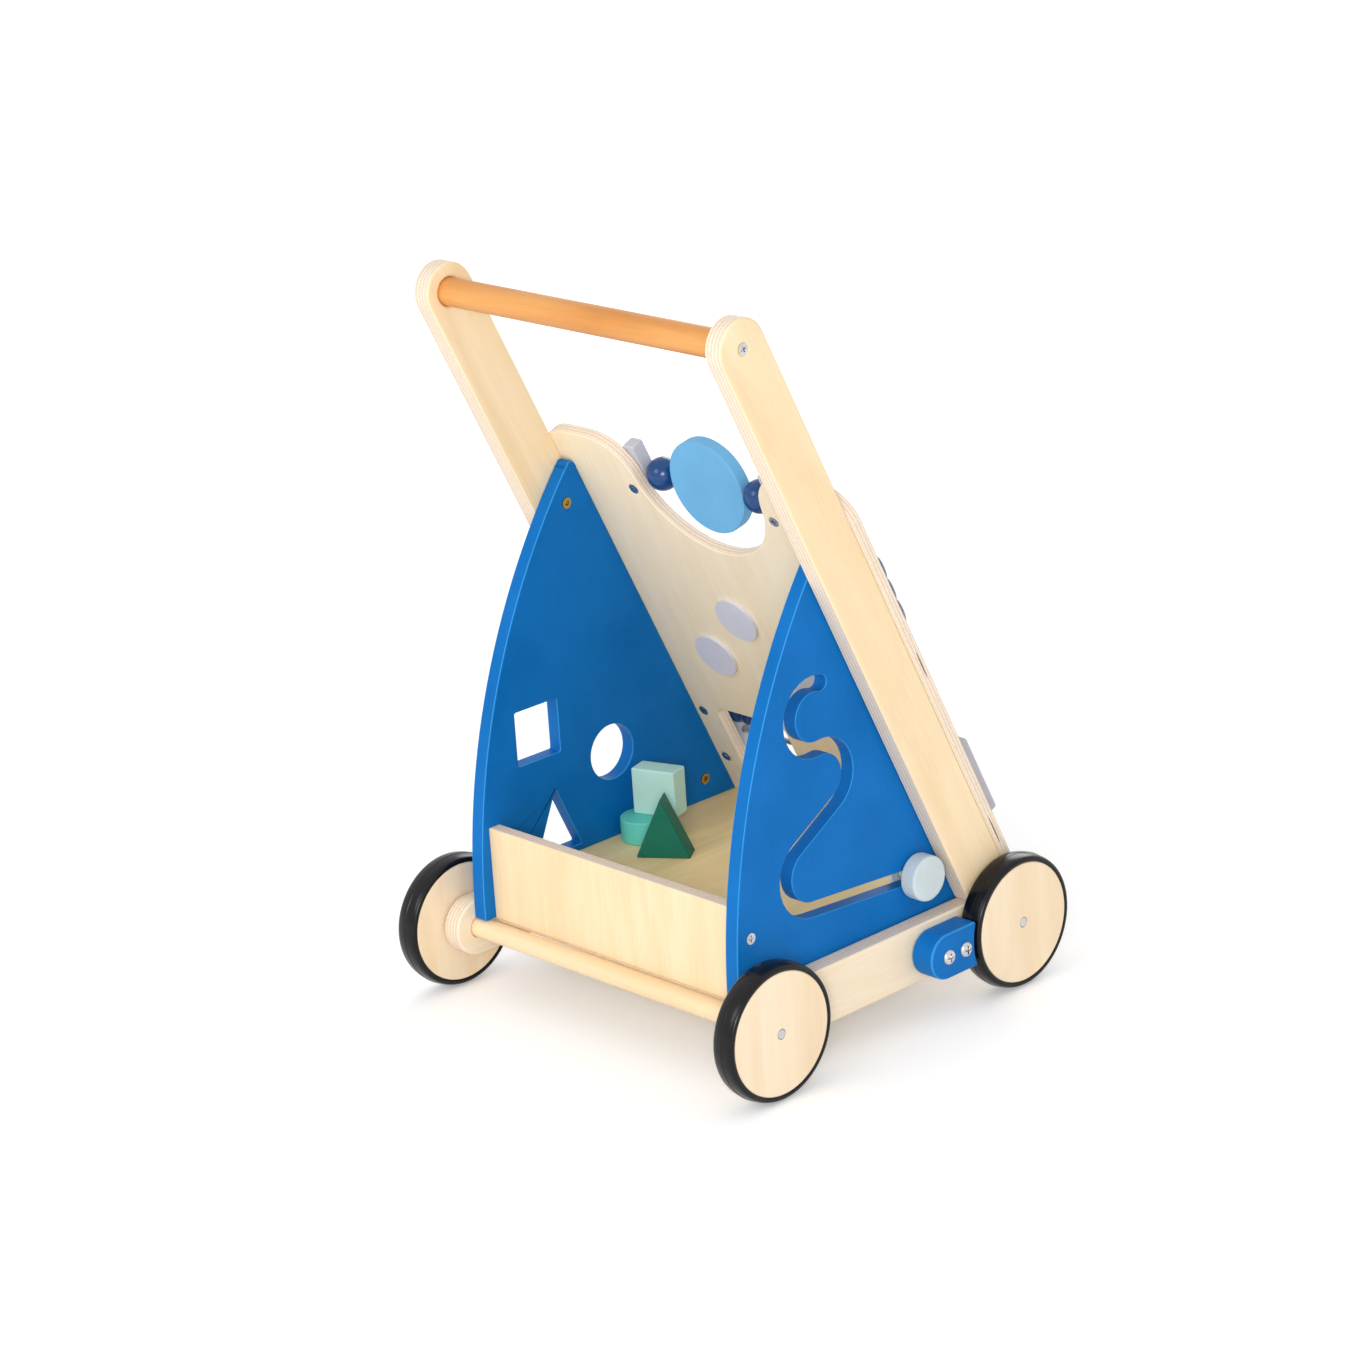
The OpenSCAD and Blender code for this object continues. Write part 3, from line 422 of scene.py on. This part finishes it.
def lathe(name, profile, centre, axis, segments=128):
    """A mesh of a closed profile of (radius, distance along the axis), turned about the axis."""
    turn = UP.rotation_difference(axis).to_matrix().to_4x4()
    place = Matrix.Translation(centre) @ turn
    bm = bmesh.new()
    rings = []
    for i in range(segments):
        angle = 2 * math.pi * i / segments
        rings.append([bm.verts.new(place @ Vector((r * math.cos(angle), r * math.sin(angle), z)))
                      for r, z in profile])
    count = len(profile)
    for i in range(segments):
        here, there = rings[i], rings[(i + 1) % segments]
        for k in range(count):
            bm.faces.new((here[k], there[k], there[(k + 1) % count], here[(k + 1) % count]))
    mesh = outward_mesh(bm, name)
    for polygon in mesh.polygons:
        polygon.use_smooth = True
    mesh.set_sharp_from_angle(angle=math.radians(40))
    return mesh


def dress(node, material):
    """A better material for a CAD node whose shape is right."""
    materials = nodes[node].data.materials
    if len(materials) == 0:
        materials.append(material)
    for i in range(len(materials)):
        materials[i] = material


# ---- wood and painted pieces with rounded edges ----

# Nodes, their finish and the width of the rounding in millimetres
ROUNDED = [
    ("left_arm right_arm", "arm", 2.2),
    ("left_rail right_rail", "rail", 2.0),
    ("left_panel right_panel", "blue", 1.2),
    ("tray_floor", "floor", 0.6),
    ("rear_wall", "wall", 1.0),
    ("wheel_rear_left wheel_rear_right wheel_front_left wheel_front_right", "wheel", 0.5),
    ("left_brake_block right_brake_block", "blue", 2.4),
    ("activity_board", "board", 1.4),
    ("left_rod_bracket right_rod_bracket", "grey", 1.2),
    ("flip_disc", "pale_blue", 1.2),
    ("gear_outer_left", "pale_blue", 0.8),
    ("gear_inner_left", "deep_blue", 0.8),
    ("gear_inner_right", "mint", 0.8),
    ("gear_outer_right", "turquoise", 0.8),
    ("left_bead_bar right_bead_bar", "grey", 1.6),
    ("roller_brackets", "grey", 1.2),
    ("slider_knob", "knob", 1.8),
    ("slider_washer", "knob", 0.5),
    ("square_block", "mint", 1.3),
    ("round_block", "turquoise", 1.3),
    ("triangle_block", "green", 1.3),
]
for names, tint, width in ROUNDED:
    for node in names.split():
        rounded(node, finish[tint], width * MM)

DRESSED = [
    ("handle_bar arm_dowels", "beech"),
    ("rear_dowel front_dowel", "dowel"),
    ("handle_screws wall_screws axle_pins brake_screws board_front_screws board_rear_screws", "steel"),
    ("flip_rod bead_rods", "steel"),
    ("panel_screws", "gilt"),
    ("left_flip_bead right_flip_bead", "deep_blue"),
    ("upper_bead_1 upper_bead_2 upper_bead_3 upper_bead_4", "deep_blue"),
    ("lower_bead_1 lower_bead_2 lower_bead_3", "pale_blue"),
    ("left_roller right_roller", "deep_blue"),
    ("gear_pegs gear_caps", "grey_plastic"),
]
for names, tint in DRESSED:
    for node in names.split():
        dress(node, finish[tint])

# ---- tyres ----

FOOT_DEPTH = 0.3 * MM    # how far the tyre reaches below the wheel's rim
FOOT_INSET = 0.8 * MM    # how far inside its sides it does so
LIP_INSET = 0.1 * MM
BEAD_LIP = 0.9 * MM      # how far the tyre's lips stand off the wheel's rim
SEAM = 0.25 * MM         # height of the moulding seam round the tread
SEAM_W = 0.45 * MM       # width of the seam's crest, and half the width of its foot
SHOULDER_POWER = 0.55    # below 1 makes the tyre's section squarer
SECTION_STEPS = 28


def tyre_profile(rim_r, tread_r, width):
    """Half-round section with a fine moulding seam in the middle of the tread."""
    foot = [(rim_r - FOOT_DEPTH, FOOT_INSET), (rim_r + BEAD_LIP * 0.6, LIP_INSET)]
    start = rim_r + BEAD_LIP
    profile = list(foot)
    for i in range(SECTION_STEPS + 1):
        angle = math.pi * i / SECTION_STEPS
        r = start + (tread_r - SEAM - start) * math.sin(angle) ** SHOULDER_POWER
        z = width / 2 * (1 - math.cos(angle))
        if i == SECTION_STEPS // 2:
            profile += [(r, z - SEAM_W), (tread_r, z - SEAM_W / 2),
                        (tread_r, z + SEAM_W / 2), (r, z + SEAM_W)]
        else:
            profile.append((r, z))
    return profile + [(r, width - z) for r, z in reversed(foot)]


for corner in ("rear_left", "rear_right", "front_left", "front_right"):
    node = "tyre_" + corner
    low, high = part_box(node)
    disc_low, disc_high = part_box("wheel_" + corner)
    centre = (low + high) / 2
    profile = tyre_profile((disc_high.z - disc_low.z) / 2, (high.z - low.z) / 2, high.x - low.x)
    mesh = lathe(node + "_piece", profile, Vector((low.x, centre.y, centre.z)), ACROSS)
    tyre = add_piece(node + "_piece", mesh, finish["rubber"], body_of[node])
    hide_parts(node)

# ---- gaps in the plywood's core, seen on the board's right edge, drawn as thin slits of painted shade ----

VOID_HALF = 0.45 * MM    # half the slit's width
VOID_PROUD = 0.06 * MM   # how far it stands off the edge, and goes in
VOID_STEPS = 10
GEAR_DEPTH = 6 * MM      # how far the gear joint's place lies from the board's rear face


def core_void(name, start, length, depth_in_board):
    """A dark pointed slit along the board's edge: painted shade of a gap in the plywood's core. It starts at start
    up the arm from the outer left gear, and lies depth_in_board from the board's rear face, all in metres."""
    origin = Vector(joints["gear_outer_left_spin"]["pos_m"])
    origin.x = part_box("activity_board")[1].x
    origin += BOARD_OUT * (depth_in_board - GEAR_DEPTH) + ALONG_ARM * start
    parts = [i / VOID_STEPS for i in range(VOID_STEPS + 1)]
    highlight_mask = [(length * part, VOID_HALF * math.sin(math.pi * part) ** 0.5) for part in parts]
    outline = highlight_mask + [(t, -h) for t, h in reversed(highlight_mask[1:-1])]
    bm = bmesh.new()
    rings = [[bm.verts.new(origin + ALONG_ARM * t + BOARD_OUT * h + ACROSS * x) for t, h in outline]
             for x in (-VOID_PROUD, VOID_PROUD)]
    count = len(outline)
    bm.faces.new(list(reversed(rings[0])))
    bm.faces.new(rings[1])
    for i in range(count):
        k = (i + 1) % count
        bm.faces.new((rings[0][i], rings[0][k], rings[1][k], rings[1][i]))
    add_piece(name, outward_mesh(bm, name), finish["void"], "frame")


core_void("core_void_upper", 29 * MM, 24 * MM, 5 * MM)
core_void("core_void_lower", -126 * MM, 26 * MM, 3.6 * MM)

# ---- floor ----

FLOOR_HALF = 8.0                # half the floor's width
FLOOR_WHITE = (0.95, 0.95, 0.955, 1)
FLOOR_GLOW = (0.20, 0.45)       # what the floor adds where it is seen, near and far, to read as white paper
FLOOR_GLOW_FROM = (0.6, 3.0)    # how far from the object the near glow ends and the far glow starts


def floor_material(name, colour):
    """Matt white paper that keeps the object's shadow. The camera, and mirrors, see it a little brighter."""
    s = Shader(name, 0.9, specular=0.0)
    paper = s.noise(2, scale=3)
    s.colour(s.ramp(paper, 0.3, 0.7, colour, times(colour, 0.995)))
    s.bsdf.inputs["Emission Color"].default_value = WHITE
    away = s.node("VectorMath", operation="LENGTH")
    s.join(s.place.outputs["Object"], away.inputs[0])
    glow = s.spread(away.outputs["Value"], FLOOR_GLOW_FROM, FLOOR_GLOW, interpolation_type="SMOOTHSTEP")
    s.join(s.math("MULTIPLY", s.seen(), glow), s.bsdf.inputs["Emission Strength"])
    return s.material


floor_mesh = bpy.data.meshes.new("floor")
floor_mesh.from_pydata([(x * FLOOR_HALF, y * FLOOR_HALF, 0) for x, y in ((-1, -1), (1, -1), (1, 1), (-1, 1))],
                       [], [(0, 1, 2, 3)])
floor_mesh.materials.append(floor_material("studio_floor", FLOOR_WHITE))
floor = bpy.data.objects.new("studio_floor", floor_mesh)
bpy.context.scene.collection.objects.link(floor)

# ---- light ----

AMBIENT = 0.70    # the white surroundings' strength as a light; where they are seen it is 1

world = bpy.data.worlds.new("studio")
bpy.context.scene.world = world
world.use_nodes = True
surroundings = Graph(world.node_tree)
background = world.node_tree.nodes["Background"]
background.inputs["Color"].default_value = WHITE
strength = surroundings.spread(surroundings.seen(), target=(AMBIENT, 1.0))
surroundings.join(strength, background.inputs["Strength"])


def soft_light(name, place, target, size, power):
    data = bpy.data.lights.new(name, "AREA")
    data.shape = "DISK"
    data.size = size
    data.energy = power
    light = bpy.data.objects.new(name, data)
    light.location = place
    light.rotation_euler = (Vector(target) - Vector(place)).to_track_quat("-Z", "Y").to_euler()
    bpy.context.scene.collection.objects.link(light)


low, high = cad_box
middle = [(a + b) / 2 for a, b in zip(low, high)]
soft_light("key", (-0.4, -2.8, 1.9), middle, size=1.4, power=18)
soft_light("front", (2.2, -2.3, 1.2), middle, size=1.0, power=44)
soft_light("back", (-1.6, 2.8, 1.7), middle, size=1.8, power=26)

# ---- camera, fitted to the photo: metres, degrees and millimetres ----

CAMERA_PLACE = (1.972, -1.8576, 1.1659)
CAMERA_AZIMUTH = 47.18
CAMERA_ELEVATION = 19.15
CAMERA_ROLL = -3.80
CAMERA_LENS = 108.82
CAMERA_SENSOR = 36
camera_data = bpy.data.cameras.new("camera")
camera_data.lens = CAMERA_LENS
camera_data.sensor_width = CAMERA_SENSOR
camera_data.clip_start = 0.1
camera_data.clip_end = 60
camera = bpy.data.objects.new("camera", camera_data)
camera.rotation_euler = (
    Matrix.Rotation(math.radians(CAMERA_AZIMUTH), 3, "Z")
    @ Matrix.Rotation(math.radians(90 - CAMERA_ELEVATION), 3, "X")
    @ Matrix.Rotation(math.radians(CAMERA_ROLL), 3, "Z")
).to_euler()
camera.location = CAMERA_PLACE
bpy.context.scene.collection.objects.link(camera)
bpy.context.scene.camera = camera

bpy.context.scene.view_settings.view_transform = "Standard"
